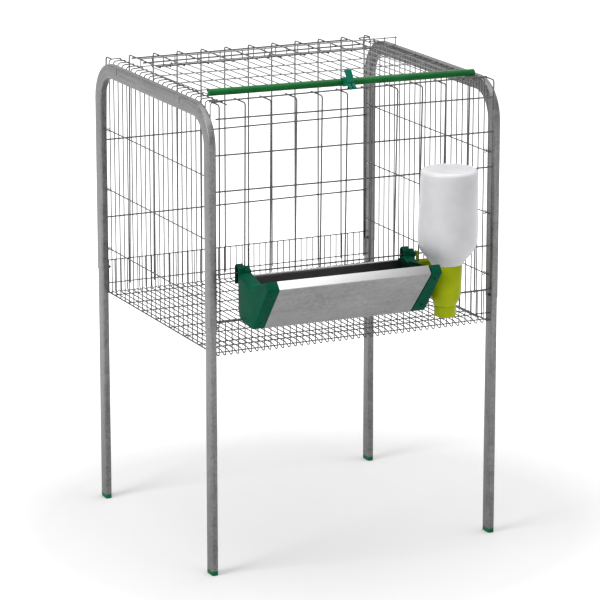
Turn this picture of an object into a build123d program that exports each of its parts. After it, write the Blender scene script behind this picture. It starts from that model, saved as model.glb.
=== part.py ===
from build123d import *
from math import pi, sqrt
import os

# Poultry fattening cage on four tall legs, with a hinged roof lid, feed trough and bottle drinker.
# Millimetres, +Z up, +X to the right along the front, -Y to the front, floor at Z = 0.
# The origin is on the floor under the middle of the whole outline, trough included.

# Overall sizes
cage_width = 580.0
cage_depth = 528.0
frame_height = 860.0
floor_height = 420.0
seat_gap = 0.3

# Frame tubes and legs
leg_x = 12.0
leg_y = 25.0
leg_wall = 1.0
frame_wall = 0.8
plug_gap = 0.05
bend_radius = 75.0
joint_height = 455.0
plug_depth = 40.0
cap_flange = 3.0
cap_plug = 14.0
cap_wall = 1.5
cap_gap = 0.15

# Wire
bar_diameter = 2.6
mesh_diameter = 2.1
bend_cut = 4.5

# Front and rear grilles
bar_pitch = 50.0
grille_inset = 6.0
front_wire_heights = (707.0, 772.0, 835.0)
hook_wire_height = 558.0
front_foot_height = 470.0
front_flange = 60.0
top_wire_inset = 31.0
rear_wire_heights = (553.0, 630.0, 703.0, 778.0)
rear_strip = 152.0
rear_strip_wires = (30.0, 84.0)
roof_rise = 2.0

# Side panels
side_pitch = 42.0
side_wire_heights = (497.0, 612.0, 727.0)
side_flange = 24.0

# Floor
floor_pitch = 38.1
floor_cross_pitch = 78.0
floor_bend_cut = 2.5
apron_height = 50.0

# Lid
lid_side_gap = 25.0
lid_pitch = 25.0
lid_cross_pitch = 84.0
lid_lip = 19.0
lip_bend = 1.5
lid_bend_cut = 1.2
hinge_gap = 6.0
rail_diameter = 13.0
rail_wall = 1.8
rail_inset = 60.0
ring_wire = 2.0
ring_count = 3
ring_spacing = 200.0
ring_slack = 0.35

# Latch clip
clip_width = 14.0
clip_wall = 2.6
clip_tab_rise = 26.0
clip_tab_setback = 49.0
clip_plate = 4.0
clip_finger_radius = 5.2
clip_foot_gap = 0.4
clip_slot = 2.0
clip_web_place = 0.4
clip_wire_slack = 0.8
clip_mouth_angle = 80.0
clip_mouth_lead = 1.0

# Trough
trough_left = 77.0
trough_sheet = 1.0
trough_clearance = 1.5
trough_rim_drop = 5.0
trough_back_bend = 17.0
trough_front_bend = 8.5
trough_bottom_drop = 90.0
trough_bottom_reach = 58.0
trough_fold_reach = 124.0
trough_fold_drop = 5.0
trough_lip_reach = 113.0
trough_lip_rise = 8.0
end_cap_width = 21.0
end_cap_edge = 2.5
end_cap_bend = 4.0
hook_wall = 3.0
hook_rise = 19.0
hook_tail = 13.0
hook_slack = 0.2
bar_clearance = 1.0

# Drinker
drinker_inset = 135.0
drinker_reach = 55.0
drinker_gap = 65.0
bottle_radius = 48.5
bottle_height = 187.0
bottle_wall = 1.4
bottle_edge = 6.0
shoulder_height = 47.0
shoulder_mid_radius = 43.0
shoulder_mid_height = 19.0
socket_drop = 17.0
neck_radius = 21.0
neck_length = 25.0
socket_radius = 28.0
socket_wall = 2.2
socket_taper = 1.0
socket_depth = 54.0
socket_taper_length = 17.0
collar_radius = 19.5
collar_length = 21.0
cup_width = 46.0
cup_inside_reach = 46.0
cup_outside_reach = 12.0
cup_rim_drop = 11.0
cup_depth = 47.0
cup_wall = 2.0
cup_corner = 15.0
cup_hook_width = 6.0
cup_side_inset = 47.0

# Derived sizes
bar = bar_diameter * sqrt(pi) / 2
mesh = mesh_diameter * sqrt(pi) / 2
frame_x = leg_x + 2 * (frame_wall + plug_gap)
frame_y = leg_y + 2 * (frame_wall + plug_gap)
overall_depth = cage_depth + trough_fold_reach
front_y = trough_fold_reach - overall_depth / 2
rear_y = front_y + cage_depth
left_x = -cage_width / 2
right_x = cage_width / 2
roof_z = frame_height + roof_rise
front_bar_y = front_y + grille_inset
front_wire_y = front_bar_y - bar
rear_bar_y = rear_y - grille_inset
rear_wire_y = rear_bar_y + bar
inner_width = cage_width - 2 * (frame_x + seat_gap)
lid_width = cage_width - 2 * lid_side_gap
lid_cross_z = roof_z + mesh / 2 + seat_gap + mesh / 2
lid_bar_z = lid_cross_z + mesh
rail_y = front_y + rail_inset
rail_z = roof_z + bar / 2 + seat_gap + rail_diameter / 2
top_wire_y = front_y + top_wire_inset
top_wire_z = roof_z + bar
strip_front_y = rear_y - rear_strip
hinge_y = strip_front_y - hinge_gap
hinge_z = lid_bar_z + mesh / 2 + lip_bend
drinker_x = right_x - drinker_inset
drinker_y = front_y - drinker_reach
cup_side_x = right_x - cup_side_inset
trough_back_y = front_y - trough_clearance
trough_x = left_x + trough_left
trough_length = drinker_x - drinker_gap - trough_x
trough_rim_height = hook_wire_height - trough_rim_drop
trough_bottom_height = hook_wire_height - trough_bottom_drop
trough_fold_height = hook_wire_height - trough_fold_drop
trough_lip_height = hook_wire_height + trough_lip_rise
trough_bends = (trough_back_bend, trough_front_bend, trough_sheet)
socket_top = hook_wire_height - socket_drop
socket_taper_top = socket_top - socket_depth
socket_taper_bottom = socket_taper_top - socket_taper_length
collar_bottom = socket_taper_bottom - collar_length
cup_rim = hook_wire_height - cup_rim_drop
cup_bottom = cup_rim - cup_depth

os.makedirs("parts", exist_ok=True)


def save(piece, name):
    piece.part.label = name
    export_step(piece.part, "parts/" + name + ".step")


def cut_corners(points, cut):
    """The same route with a short straight run across each corner."""
    route = [Vector(*place) for place in points]
    bent = [route[0]]
    for before, corner, after in zip(route, route[1:], route[2:]):
        bent.append(corner + (before - corner).normalized() * cut)
        bent.append(corner + (after - corner).normalized() * cut)
    return bent + [route[-1]]


def bent_bar(plane, points, cut, size):
    """A bar of square section that follows a route of straight runs with its corners cut."""
    with BuildPart() as wire:
        with BuildSketch(plane):
            with BuildLine() as route:
                Polyline(*cut_corners(points, cut))
            trace(route.line, line_width=size)
        extrude(amount=size / 2, both=True)
    return wire.part


def spread(span, pitch):
    """Places along a line that keep to the pitch, centred, both ends inside the span."""
    count = int(span / pitch) + 1
    return [(n - (count - 1) / 2) * pitch for n in range(count)]


bar_xs = spread(inner_width, bar_pitch)


# Frames: one flat-sided tube bent into an upside-down U on each side
def make_frame(name, centre_x):
    leg_front = front_y + frame_y / 2
    leg_rear = rear_y - frame_y / 2
    beam_z = frame_height - frame_y / 2
    radius = bend_radius - frame_y / 2
    with BuildPart() as frame:
        with BuildLine(Plane.YZ.offset(centre_x)) as route:
            FilletPolyline(
                (leg_front, joint_height), (leg_front, beam_z),
                (leg_rear, beam_z), (leg_rear, joint_height), radius=radius)
        with BuildSketch(Plane.XY.offset(joint_height)):
            with Locations((centre_x, leg_front)):
                Rectangle(frame_x, frame_y)
                Rectangle(frame_x - 2 * frame_wall, frame_y - 2 * frame_wall, mode=Mode.SUBTRACT)
        sweep(path=route.line)
    save(frame, name)


# Legs: straight tubes that plug into the frame ends
def make_leg(name, x, y):
    with BuildPart() as leg:
        with BuildSketch(Plane.XY.offset(cap_flange)):
            with Locations((x, y)):
                Rectangle(leg_x, leg_y)
                Rectangle(leg_x - 2 * leg_wall, leg_y - 2 * leg_wall, mode=Mode.SUBTRACT)
        extrude(amount=joint_height + plug_depth - cap_flange)
    save(leg, name)


# Foot caps: a flange under the tube and a hollow plug inside it
def make_foot_cap(name, x, y):
    plug_x = leg_x - 2 * (leg_wall + cap_gap)
    plug_y = leg_y - 2 * (leg_wall + cap_gap)
    with BuildPart() as cap:
        with BuildSketch():
            with Locations((x, y)):
                Rectangle(leg_x, leg_y)
        extrude(amount=cap_flange)
        with BuildSketch(Plane.XY.offset(cap_flange)):
            with Locations((x, y)):
                Rectangle(plug_x, plug_y)
                Rectangle(plug_x - 2 * cap_wall, plug_y - 2 * cap_wall, mode=Mode.SUBTRACT)
        extrude(amount=cap_plug)
    save(cap, name)


# Side panels: upright wires that turn in over the top beam
def make_side_mesh(name, side):
    cross_x = side * (cage_width / 2 - frame_x - seat_gap - mesh / 2)
    upright_x = cross_x - side * mesh
    edge_x = upright_x - side * side_flange
    route = [(upright_x, floor_height), (upright_x, roof_z), (edge_x, roof_z)]
    upright = bent_bar(Plane.XZ, route, bend_cut, mesh)
    middle_y = (front_y + rear_y) / 2
    places = spread(cage_depth - 2 * frame_y, side_pitch)
    length = cage_depth - frame_y
    with BuildPart() as panel:
        with Locations(*[(0, middle_y + y, 0) for y in places]):
            add(upright)
        with Locations(*[(cross_x, middle_y, z) for z in side_wire_heights]):
            Box(mesh, length, mesh)
        with Locations((edge_x + side * mesh / 2, middle_y, roof_z - mesh)):
            Box(mesh, places[-1] - places[0] + mesh, mesh)
    save(panel, name)


# Front grille: upright bars bent back into the roof, cut away round the drinker's cup
def make_front_mesh():
    short_bars = [x for x in bar_xs if drinker_x - cup_width / 2 < x < cup_side_x]
    end_bars = [bar_xs[0], bar_xs[-1]]
    low = front_foot_height - bar
    bend = (front_bar_y, roof_z)
    flange_end = (front_y + front_flange, roof_z)
    tall = bent_bar(Plane.YZ, [(front_bar_y, low), bend, flange_end], bend_cut, bar)
    short = bent_bar(
        Plane.YZ, [(front_bar_y, hook_wire_height - bar), bend, flange_end], bend_cut, bar)
    end_top = roof_z - 2 * bar
    front_cross_heights = (front_foot_height, hook_wire_height) + front_wire_heights
    with BuildPart() as grille:
        with Locations(*[(x, 0, 0) for x in bar_xs if x not in short_bars + end_bars]):
            add(tall)
        with Locations(*[(x, 0, 0) for x in short_bars]):
            add(short)
        with Locations(*[(x, front_bar_y, (low + end_top) / 2) for x in end_bars]):
            Box(bar, bar, end_top - low)
        with Locations((cup_side_x, front_bar_y, (low + hook_wire_height + bar) / 2)):
            Box(bar, bar, hook_wire_height + bar - low)
        with Locations(*[(0, front_wire_y, z) for z in front_cross_heights]):
            Box(inner_width, bar, bar)
    save(grille, "front_mesh")


# Top wire: lies across the bent-back ends of the front bars, and the latch clip hooks over it
def make_top_wire():
    with BuildPart() as wire:
        with Locations((0, top_wire_y, top_wire_z)):
            Box(inner_width, bar, bar)
    save(wire, "front_top_wire")


# Rear grille: upright bars bent forward into the fixed strip of the roof behind the lid
def make_rear_mesh():
    route = [(rear_bar_y, floor_height), (rear_bar_y, roof_z), (strip_front_y - bar, roof_z)]
    upright = bent_bar(Plane.YZ, route, bend_cut, bar)
    end_length = roof_z - floor_height - 2 * bar
    end_middle = floor_height + end_length / 2
    strip_places = [(0, rear_y - inset, roof_z - bar) for inset in rear_strip_wires]
    strip_places.append((0, strip_front_y, roof_z + bar))
    with BuildPart() as grille:
        with Locations(*[(x, 0, 0) for x in bar_xs[1:-1]]):
            add(upright)
        with Locations(*[(x, rear_bar_y, end_middle) for x in (bar_xs[0], bar_xs[-1])]):
            Box(bar, bar, end_length)
        with Locations(*[(0, rear_wire_y, z) for z in rear_wire_heights]):
            Box(inner_width, bar, bar)
        with Locations(*strip_places):
            Box(bar_xs[-2] - bar_xs[1] + bar, bar, bar)
    save(grille, "rear_mesh")


# Floor: long wires turned up into a front and a rear apron, over cross wires
def make_floor_mesh():
    front_in = front_bar_y + bar / 2 + seat_gap + mesh / 2
    rear_in = rear_bar_y - bar / 2 - seat_gap - mesh / 2
    top = floor_height + apron_height
    route = [
        (front_in, top), (front_in, floor_height), (rear_in, floor_height), (rear_in, top)]
    long_wire = bent_bar(Plane.YZ, route, floor_bend_cut, mesh)
    middle_y = (front_in + rear_in) / 2
    cross_z = floor_height - mesh
    cross_ys = [middle_y + y for y in spread(rear_in - front_in, floor_cross_pitch)]
    apron_places = [(0, front_in + mesh, top - mesh), (0, rear_in - mesh, top - mesh)]
    with BuildPart() as floor:
        with Locations(*[(x, 0, 0) for x in spread(inner_width - 2 * mesh, floor_pitch)]):
            add(long_wire)
        with Locations(*[(0, y, cross_z) for y in cross_ys]):
            Box(inner_width, mesh, mesh)
        with Locations(*apron_places):
            Box(inner_width, mesh, mesh)
    save(floor, "floor_mesh")


# Lid: roof wires from the front rail to an upright lip at the hinge
def make_lid_mesh():
    wire_front = rail_y + seat_gap
    lip_y = hinge_y - mesh
    lip_top = lid_bar_z + lid_lip
    route = [(wire_front, lid_bar_z), (lip_y, lid_bar_z), (lip_y, lip_top)]
    long_wire = bent_bar(Plane.YZ, route, lid_bend_cut, mesh)
    cross_count = int((hinge_y - rail_y - rail_diameter) / lid_cross_pitch)
    cross_ys = [hinge_y - lid_cross_pitch * (n + 1) for n in range(cross_count)]
    with BuildPart() as lid:
        with Locations(*[(x, 0, 0) for x in spread(lid_width - mesh, lid_pitch)]):
            add(long_wire)
        with Locations(*[(0, y, lid_cross_z) for y in cross_ys]):
            Box(lid_width, mesh, mesh)
        with Locations((0, hinge_y, hinge_z)):
            Box(lid_width, mesh, mesh)
        with Locations((0, wire_front + mesh / 2, lid_bar_z + mesh)):
            Box(lid_width - 2 * mesh, mesh, mesh)
        with Locations((0, lip_y - mesh, lip_top - mesh)):
            Box(lid_width, mesh, mesh)
    save(lid, "lid_mesh")


# Rail: a slit plastic tube pushed over the lid's front edge
def make_lid_rail():
    slit_top = lid_bar_z + mesh / 2 + seat_gap
    with BuildPart() as rail:
        with BuildSketch(Plane.YZ.offset(-lid_width / 2)):
            with Locations((rail_y, rail_z)):
                Circle(rail_diameter / 2)
                Circle(rail_diameter / 2 - rail_wall, mode=Mode.SUBTRACT)
            with Locations((rail_y, slit_top)):
                Rectangle(rail_diameter, rail_diameter, align=(Align.MIN, Align.MAX), mode=Mode.SUBTRACT)
        extrude(amount=lid_width)
    save(rail, "lid_rail")


# Hinge rings: closed links that hold the lid's rear wire to the front wire of the fixed strip
def make_hinge_rings():
    hinge_place = Vector(hinge_y, hinge_z)
    strip_place = Vector(strip_front_y, roof_z + bar)
    lean = strip_place - hinge_place
    angle = Vector(1, 0).get_signed_angle(lean, normal=Vector(0, 0, 1))
    hole = bar * sqrt(2) + 2 * ring_slack
    rim = 2 * ring_wire
    with BuildPart() as rings:
        for n in range(ring_count):
            x = ring_spacing * (n - (ring_count - 1) / 2)
            with BuildSketch(Plane.YZ.offset(x)):
                with Locations(Location(hinge_place + lean / 2, angle)):
                    Rectangle(lean.length + hole + rim, hole + rim)
                    Rectangle(lean.length + hole, hole, mode=Mode.SUBTRACT)
            extrude(amount=ring_wire / 2, both=True)
    save(rings, "lid_hinge_rings")


# Latch clip: turns on the round rail and its split fingers snap over the front top wire
def make_latch_clip():
    ring_inner = rail_diameter / 2 + seat_gap
    ring_outer = ring_inner + clip_wall
    wire_hole = bar * sqrt(2) / 2 + clip_wire_slack
    mouth = 2 * clip_finger_radius
    finger_box = mouth + clip_mouth_lead
    foot_z = roof_z + bar / 2 + clip_foot_gap
    with BuildPart() as clip:
        with BuildSketch(Plane.YZ.offset(-clip_width / 2)):
            with Locations((rail_y, rail_z)):
                Circle(ring_outer)
            with BuildLine() as plate:
                Line((top_wire_y, top_wire_z), (front_y + clip_tab_setback, rail_z + clip_tab_rise))
            trace(plate.line, line_width=clip_plate)
            with BuildLine() as web:
                Line((rail_y, rail_z), plate.line @ clip_web_place)
            trace(web.line, line_width=rail_diameter)
            with Locations((top_wire_y, top_wire_z)):
                Circle(clip_finger_radius)
            with Locations((rail_y, rail_z)):
                Circle(ring_inner, mode=Mode.SUBTRACT)
                Rectangle(ring_outer, ring_outer, align=(Align.MIN, Align.MAX), mode=Mode.SUBTRACT)
            with Locations((top_wire_y, top_wire_z)):
                Circle(wire_hole, mode=Mode.SUBTRACT)
                Trapezoid(
                    2 * wire_hole + clip_mouth_lead, mouth, clip_mouth_angle,
                    align=(Align.CENTER, Align.MAX), mode=Mode.SUBTRACT)
            with Locations((rail_y, foot_z)):
                Rectangle(
                    2 * rail_inset, rail_inset, align=(Align.CENTER, Align.MAX),
                    mode=Mode.SUBTRACT)
        extrude(amount=clip_width)
        with Locations((0, top_wire_y, top_wire_z)):
            Box(clip_slot, finger_box, finger_box, mode=Mode.SUBTRACT)
    save(clip, "latch_clip")


# Trough: one folded sheet, hung between two plastic end caps
def trough_route():
    return [
        (trough_back_y, trough_rim_height),
        (trough_back_y, trough_bottom_height),
        (front_y - trough_bottom_reach, trough_bottom_height),
        (front_y - trough_fold_reach, trough_fold_height),
        (front_y - trough_lip_reach, trough_lip_height)]


def make_trough():
    with BuildPart() as trough:
        with BuildSketch(Plane.YZ.offset(trough_x)):
            with BuildLine() as fold:
                FilletPolyline(*trough_route(), radius=trough_bends)
            trace(fold.line, line_width=trough_sheet)
        extrude(amount=trough_length)
    save(trough, "trough_sheet")


# End caps: closed plastic cheeks, each with a saddle that sits on the hook wire
def make_end_cap(name, inner_x, outward):
    start_x = inner_x + outward * plug_gap
    width = end_cap_width - plug_gap
    saddle_front = trough_back_y - hook_wall
    saddle_back = front_y + hook_tail
    saddle_top = hook_wire_height + hook_rise
    seat_z = hook_wire_height + bar / 2 + hook_slack / 2
    slot_front = front_wire_y - bar / 2 - hook_slack
    slot_back = saddle_back - hook_wall
    with BuildPart() as cap:
        with BuildSketch(Plane.YZ.offset(start_x)):
            with BuildLine():
                edge = FilletPolyline(
                    *trough_route(), radius=(trough_back_bend, trough_front_bend, end_cap_bend))
                Line(edge @ 1, edge @ 0)
            make_face()
        extrude(amount=outward * width)
        cheek = cap.faces().sort_by(Axis.X)[-1 if outward > 0 else 0]
        chamfer(cheek.edges(), length=end_cap_edge)
        with BuildSketch(Plane.YZ.offset(start_x)):
            with BuildLine():
                Polyline(
                    (saddle_front, trough_rim_height - hook_rise),
                    (saddle_front, saddle_top - hook_wall), (saddle_front + hook_wall, saddle_top),
                    (saddle_back - hook_wall, saddle_top), (saddle_back, saddle_top - hook_wall),
                    (saddle_back, trough_rim_height - hook_wall),
                    (slot_back, trough_rim_height - hook_wall), (slot_back, seat_z),
                    (slot_front, seat_z), (slot_front, trough_rim_height - hook_rise), close=True)
            make_face()
        extrude(amount=outward * width)
        with Locations(*[(x, front_bar_y, hook_wire_height) for x in bar_xs]):
            Box(
                bar + 2 * bar_clearance, 2 * (saddle_back - front_bar_y) + bar, 4 * hook_rise,
                mode=Mode.SUBTRACT)
    save(cap, name)


# Drinker bottle: an upside-down bottle, open at its neck
def make_drinker_bottle():
    rest = socket_top
    top = rest + bottle_height
    shoulder = rest + shoulder_height
    neck_bottom = rest - neck_length
    inner = bottle_radius - bottle_wall
    neck_inner = neck_radius - bottle_wall
    with BuildPart() as bottle:
        with BuildSketch(Plane((drinker_x, drinker_y, 0), x_dir=(1, 0, 0), z_dir=(0, -1, 0))):
            with BuildLine():
                Polyline(
                    (0, top), (bottle_radius - bottle_edge, top),
                    (bottle_radius, top - bottle_edge), (bottle_radius, shoulder),
                    (shoulder_mid_radius, rest + shoulder_mid_height), (socket_radius, rest),
                    (neck_radius, rest), (neck_radius, neck_bottom), (neck_inner, neck_bottom),
                    (neck_inner, rest + bottle_wall), (inner, shoulder + bottle_wall),
                    (inner, top - bottle_edge), (0, top - bottle_edge), close=True)
            make_face()
        revolve(axis=Axis((drinker_x, drinker_y, 0), (0, 0, 1)))
    save(bottle, "drinker_bottle")


# Drinker base: socket for the bottle, with a cup that reaches through the front grille
def make_drinker_base():
    cup_end = front_y + cup_inside_reach
    cup_length = cup_inside_reach + cup_outside_reach
    pocket_length = cup_end - cup_wall - front_bar_y - bar
    slot = bar + hook_slack
    hook_height = cup_rim_drop + bar + hook_wall + cup_wall
    with BuildPart() as base:
        with BuildSketch(Plane((drinker_x, drinker_y, 0), x_dir=(1, 0, 0), z_dir=(0, -1, 0))):
            with BuildLine():
                Polyline(
                    (0, collar_bottom), (collar_radius, collar_bottom),
                    (collar_radius, socket_taper_bottom),
                    (socket_radius - socket_taper, socket_taper_top),
                    (socket_radius, socket_top), (0, socket_top), close=True)
            make_face()
        revolve(axis=Axis((drinker_x, drinker_y, 0), (0, 0, 1)))
        with BuildSketch(Plane.XY.offset(cup_bottom)):
            with Locations((drinker_x, drinker_y)):
                Rectangle(cup_width, front_y - drinker_y, align=(Align.CENTER, Align.MIN))
        extrude(amount=socket_top - cup_bottom)
        with BuildSketch(Plane.XY.offset(cup_bottom)) as body:
            with Locations((drinker_x, cup_end)):
                Rectangle(cup_width, cup_length, align=(Align.CENTER, Align.MAX))
            fillet(body.vertices().group_by(Axis.Y)[-1], radius=cup_corner)
        extrude(amount=cup_rim - cup_bottom)
        with BuildSketch(Plane.XY.offset(cup_bottom + cup_wall)) as pocket:
            with Locations((drinker_x, cup_end - cup_wall)):
                Rectangle(cup_width - 2 * cup_wall, pocket_length, align=(Align.CENTER, Align.MAX))
            fillet(pocket.vertices().group_by(Axis.Y)[-1], radius=cup_corner - cup_wall)
        extrude(amount=cup_rim - cup_bottom, mode=Mode.SUBTRACT)
        with Locations((drinker_x, drinker_y, socket_top)):
            Cylinder(
                socket_radius - socket_wall, socket_top - socket_taper_top - cup_wall,
                align=(Align.CENTER, Align.CENTER, Align.MAX), mode=Mode.SUBTRACT)
        with BuildSketch(Plane.YZ.offset(drinker_x - cup_hook_width / 2)):
            with Locations((front_wire_y, cup_rim - cup_wall)):
                Rectangle(slot + 2 * hook_wall, hook_height, align=(Align.CENTER, Align.MIN))
            with Locations((front_wire_y, hook_wire_height + bar / 2 + hook_slack / 2)):
                Rectangle(slot, hook_height, align=(Align.CENTER, Align.MAX), mode=Mode.SUBTRACT)
        extrude(amount=cup_hook_width)
        with Locations((drinker_x, front_wire_y - slot / 2 - hook_wall, cup_rim - cup_wall)):
            Box(
                cup_hook_width, hook_wall, hook_height,
                align=(Align.CENTER, Align.MIN, Align.MIN))
    save(base, "drinker_base")


make_frame("frame_left", left_x + frame_x / 2)
make_frame("frame_right", right_x - frame_x / 2)
for row, foot_y in (("front", front_y + frame_y / 2), ("rear", rear_y - frame_y / 2)):
    for hand, foot_x in (("left", left_x + frame_x / 2), ("right", right_x - frame_x / 2)):
        make_leg("leg_" + row + "_" + hand, foot_x, foot_y)
        make_foot_cap("foot_cap_" + row + "_" + hand, foot_x, foot_y)
make_side_mesh("side_mesh_left", -1)
make_side_mesh("side_mesh_right", 1)
make_front_mesh()
make_top_wire()
make_rear_mesh()
make_floor_mesh()
make_lid_mesh()
make_lid_rail()
make_hinge_rings()
make_latch_clip()
make_trough()
make_end_cap("trough_end_left", trough_x, -1)
make_end_cap("trough_end_right", trough_x + trough_length, 1)
make_drinker_bottle()
make_drinker_base()
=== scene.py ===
from math import cos, pi, radians, sin, tan

import bmesh
import bpy
from mathutils import Matrix, Vector


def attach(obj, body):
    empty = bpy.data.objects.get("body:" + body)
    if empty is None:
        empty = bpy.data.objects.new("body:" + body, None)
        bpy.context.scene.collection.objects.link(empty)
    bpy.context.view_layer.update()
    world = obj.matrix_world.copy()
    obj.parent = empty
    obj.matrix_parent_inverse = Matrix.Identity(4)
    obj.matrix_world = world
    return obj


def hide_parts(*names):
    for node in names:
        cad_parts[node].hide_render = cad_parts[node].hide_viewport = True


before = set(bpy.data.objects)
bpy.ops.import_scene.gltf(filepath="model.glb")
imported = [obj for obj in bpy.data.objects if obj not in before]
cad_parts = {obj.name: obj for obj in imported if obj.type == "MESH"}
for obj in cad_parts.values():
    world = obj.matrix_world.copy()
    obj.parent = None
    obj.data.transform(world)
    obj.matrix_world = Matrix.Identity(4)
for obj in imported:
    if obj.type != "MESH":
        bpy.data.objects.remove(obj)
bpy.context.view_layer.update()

mm = 0.001                      # all lengths below are in millimetres
wireChamfer = 0.25
sharpAngle = radians(35)        # folds past this angle are shown as sharp edges
troughSag = 0.0085              # how far the trough drops for its length, to the right


# shader helpers

class Strand:                   # a node output that can be used in sums
    def __init__(self, finish, socket):
        self.finish = finish
        self.socket = socket

    def sum(self, operation, one, two):
        return self.finish.add("Math", {"operation": operation}, {0: one, 1: two})

    def __add__(self, other):
        return self.sum("ADD", self, other)

    def __radd__(self, other):
        return self.sum("ADD", other, self)

    def __sub__(self, other):
        return self.sum("SUBTRACT", self, other)

    def __rsub__(self, other):
        return self.sum("SUBTRACT", other, self)

    def __mul__(self, other):
        return self.sum("MULTIPLY", self, other)

    def __rmul__(self, other):
        return self.sum("MULTIPLY", other, self)

    def __truediv__(self, other):
        return self.sum("DIVIDE", self, other)

    def __rtruediv__(self, other):
        return self.sum("DIVIDE", other, self)


class Finish:                   # one material with its nodes
    def __init__(self, name):
        self.material = bpy.data.materials.new(name)
        self.material.use_nodes = True
        self.tree = self.material.node_tree
        self.tree.nodes.clear()

    def add(self, kind, settings, sockets, out=0):
        node = self.tree.nodes.new("ShaderNode" + kind)
        for key, value in settings.items():
            if key == "stops":
                self.setStops(node.color_ramp, value)
            else:
                setattr(node, key, value)
        for key, value in sockets.items():
            if isinstance(value, Strand):
                self.tree.links.new(value.socket, node.inputs[key])
            else:
                node.inputs[key].default_value = value
        return Strand(self, node.outputs[out]) if node.outputs else None

    def setStops(self, ramp, stops):
        while len(ramp.elements) < len(stops):
            ramp.elements.new(0.5)
        for element, (place, tone) in zip(ramp.elements, stops):
            element.position = place
            element.color = tone

    def place(self, kind="Object"):
        return self.add("TexCoord", {}, {}, kind)

    def stretched(self, scale, kind="Object"):
        return self.add("Mapping", {}, {"Vector": self.place(kind), "Scale": scale})

    def noise(self, where, scale, detail=3.0, rough=0.5):
        return self.add("TexNoise", {}, {
            "Vector": where, "Scale": scale, "Detail": detail, "Roughness": rough})

    def ramp(self, level, low, high):
        stops = [(low, (0, 0, 0, 1)), (high, (1, 1, 1, 1))]
        return self.add("ValToRGB", {"stops": stops}, {"Fac": level})

    def mix(self, share, one, two):
        kind = {"data_type": "RGBA", "blend_type": "MIX"}
        return self.add("Mix", kind, {0: share, 6: one, 7: two}, 2)

    def bump(self, height, depth, strength):
        return self.add("Bump", {}, {"Height": height, "Distance": depth * mm, "Strength": strength})

    def along(self, axis):
        return self.add("SeparateXYZ", {}, {"Vector": self.place()}, axis)

    def flakes(self, scale):    # zinc flakes, as one grey level each
        cells = self.add("TexVoronoi", {"feature": "F1"}, {"Vector": self.place(), "Scale": scale}, "Color")
        return self.add("SeparateColor", {}, {"Color": cells})

    def surface(self, sockets):
        shader = self.add("BsdfPrincipled", {}, sockets)
        self.add("OutputMaterial", {}, {"Surface": shader})
        return self.material


def tone(red, green, blue):     # screen colour 0-255 to a linear colour
    linear = []
    for level in (red, green, blue):
        share = level / 255
        linear.append(share / 12.92 if share < 0.04045 else ((share + 0.055) / 1.055) ** 2.4)
    return (*linear, 1)


# shape helpers

def point(x, y, z):
    return Vector((x, y, z))


def inside(places):             # a route or outline in the Y-Z plane
    return [point(0, y, z) for y, z in places]


def roundCorner(before, corner, after, bend, steps):
    back = (before - corner).normalized()
    onward = (after - corner).normalized()
    half = back.angle(onward) / 2
    start = corner + back * bend / tan(half)
    centre = corner + (back + onward).normalized() * bend / sin(half)
    arm = start - centre
    axis = onward.cross(back).normalized()
    sweep = pi - 2 * half
    return [centre + Matrix.Rotation(sweep * n / steps, 3, axis) @ arm for n in range(steps + 1)]


def roundRoute(corners, bend, steps=5):
    route = [corners[0]]
    for before, corner, after in zip(corners, corners[1:], corners[2:]):
        route += roundCorner(before, corner, after, bend, steps)
    return route + [corners[-1]]


def roundLoop(corners, bends, steps=4):
    loop = []
    for n, corner in enumerate(corners):
        after = corners[(n + 1) % len(corners)]
        if bends[n]:
            loop += roundCorner(corners[n - 1], corner, after, bends[n], steps)
        else:
            loop.append(corner)
    return loop


def insetLoop(loop, amount):    # loop in the Y-Z plane, moved inwards
    area = sum(a.y * b.z - b.y * a.z for a, b in zip(loop, loop[1:] + loop[:1]))
    turn = 1 if area > 0 else -1
    moved = []
    for n, corner in enumerate(loop):
        one = (corner - loop[n - 1]).normalized()
        two = (loop[(n + 1) % len(loop)] - corner).normalized()
        normal = point(0, -(one.z + two.z), one.y + two.y).normalized() * turn
        lean = max(0.3, normal.dot(point(0, -one.z, one.y) * turn))
        moved.append(corner + normal * amount / lean)
    return moved


def circle(radius, sides):
    return [(radius * cos(2 * pi * n / sides), radius * sin(2 * pi * n / sides)) for n in range(sides)]


def quarter(steps):             # angles of a quarter turn
    return [pi / 2 * n / steps for n in range(steps + 1)]


def roundBox(width, depth, bend, steps=4):
    corners = [(1, 1), (-1, 1), (-1, -1), (1, -1)]
    section = []
    for n, (a, b) in enumerate(corners):
        for k in range(steps + 1):
            angle = pi / 2 * (n + k / steps)
            section.append((
                a * (width / 2 - bend) + bend * cos(angle), b * (depth / 2 - bend) + bend * sin(angle)))
    return section


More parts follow.
